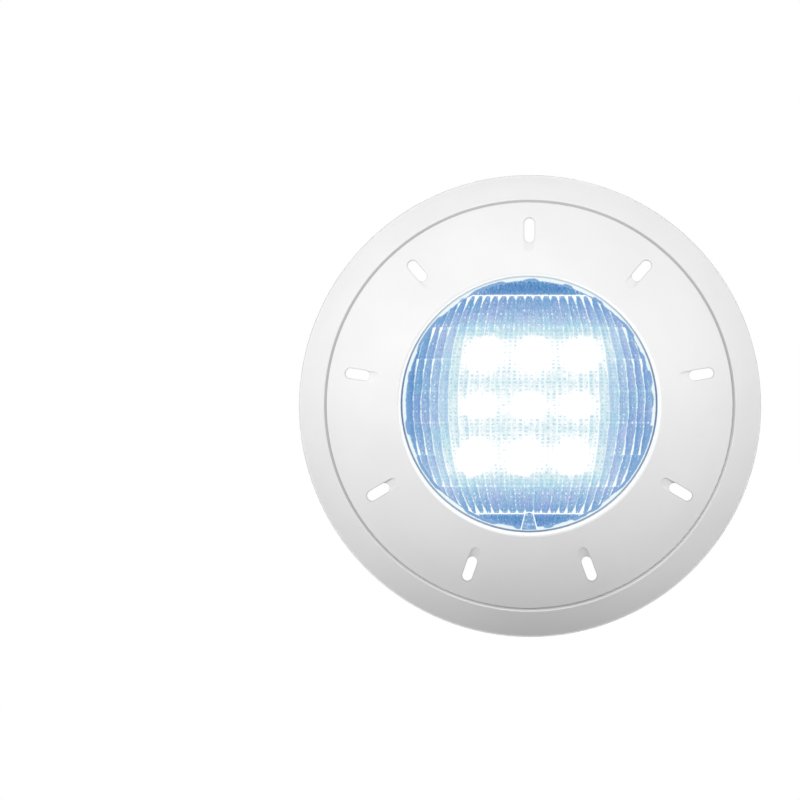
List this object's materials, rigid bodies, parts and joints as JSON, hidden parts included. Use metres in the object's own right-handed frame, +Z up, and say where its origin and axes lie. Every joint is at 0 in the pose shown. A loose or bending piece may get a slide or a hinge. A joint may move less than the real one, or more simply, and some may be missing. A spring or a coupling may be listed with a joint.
{
  "type": "underwater pool light",
  "caption": "Round surface-mounted underwater pool light: a domed white cover with slots twists off a wall base and carries a sealed lamp with a fluted glass lens.",
  "frame": {"origin": "centre of the base's back face, on the wall plane", "axes": "-Y is the way the light shines, away from the wall; +Z is up; +X is to the right as seen from the front"},
  "size_m": [0.29, 0.0905, 0.29],
  "materials": {
    "white_shell": "satin moulded ABS, fine grain",
    "lamp_shell_plastic": "moulded, matt",
    "clear_glass": "pressed and fluted",
    "black_rubber": "matt",
    "grey_rubber": "matt",
    "stainless": "brushed",
    "screw_steel": "bright",
    "acetal": "matt",
    "reflector_white": "bright white",
    "board_white": "solder mask",
    "led_die": "lit",
    "optic_clear": "clear moulding",
    "sink_aluminium": "turned",
    "board_green": "solder mask",
    "ferrite": "matt",
    "capacitor_can": "sleeved",
    "chip_black": "matt",
    "terminal_green": "moulded",
    "lead_red": "insulation",
    "gland_black": "moulded"
  },
  "bodies": {
    "base": {"mounting_base": "white_shell", "conduit_grommet": "grey_rubber"},
    "lamp": {"glass_lens": "clear_glass", "lens_gasket": "grey_rubber", "lamp_shell": "lamp_shell_plastic", "rim_band": "stainless", "band_screw": "screw_steel", "band_nut": "screw_steel", "slip_ring": "acetal", "reflector": "reflector_white", "led_board": "board_white", "board_screws": "screw_steel", "led_emitters": "led_die", "led_optics": "optic_clear", "heat_sink": "sink_aluminium", "sink_seal": "black_rubber", "sink_screws": "screw_steel", "driver_board": "board_green", "driver_screws": "screw_steel", "driver_inductor": "ferrite", "driver_capacitors": "capacitor_can", "driver_chips": "chip_black", "terminal_block": "terminal_green", "board_leads": "lead_red", "gland_body": "gland_black", "gland_ring": "black_rubber", "gland_locknut": "gland_black", "gland_seal": "black_rubber", "gland_nut": "gland_black"},
    "cover": {"front_cover": "white_shell", "lamp_clips": "stainless", "clip_screws": "screw_steel"}
  },
  "joints": [
    {"name": "lamp_lift", "type": "slide", "parent": "base", "child": "lamp", "axis": [0, -1, 0], "range_m": [0, 0.004]},
    {"name": "cover_twist", "type": "hinge", "parent": "lamp", "child": "cover", "pos_m": [0, 0, 0], "axis": [0, -1, 0], "range_deg": [0, 30]}
  ],
  "couplings": [
    {"joint": "lamp_lift", "follows": "cover_twist", "m_per_rad": 0.007639}
  ]
}
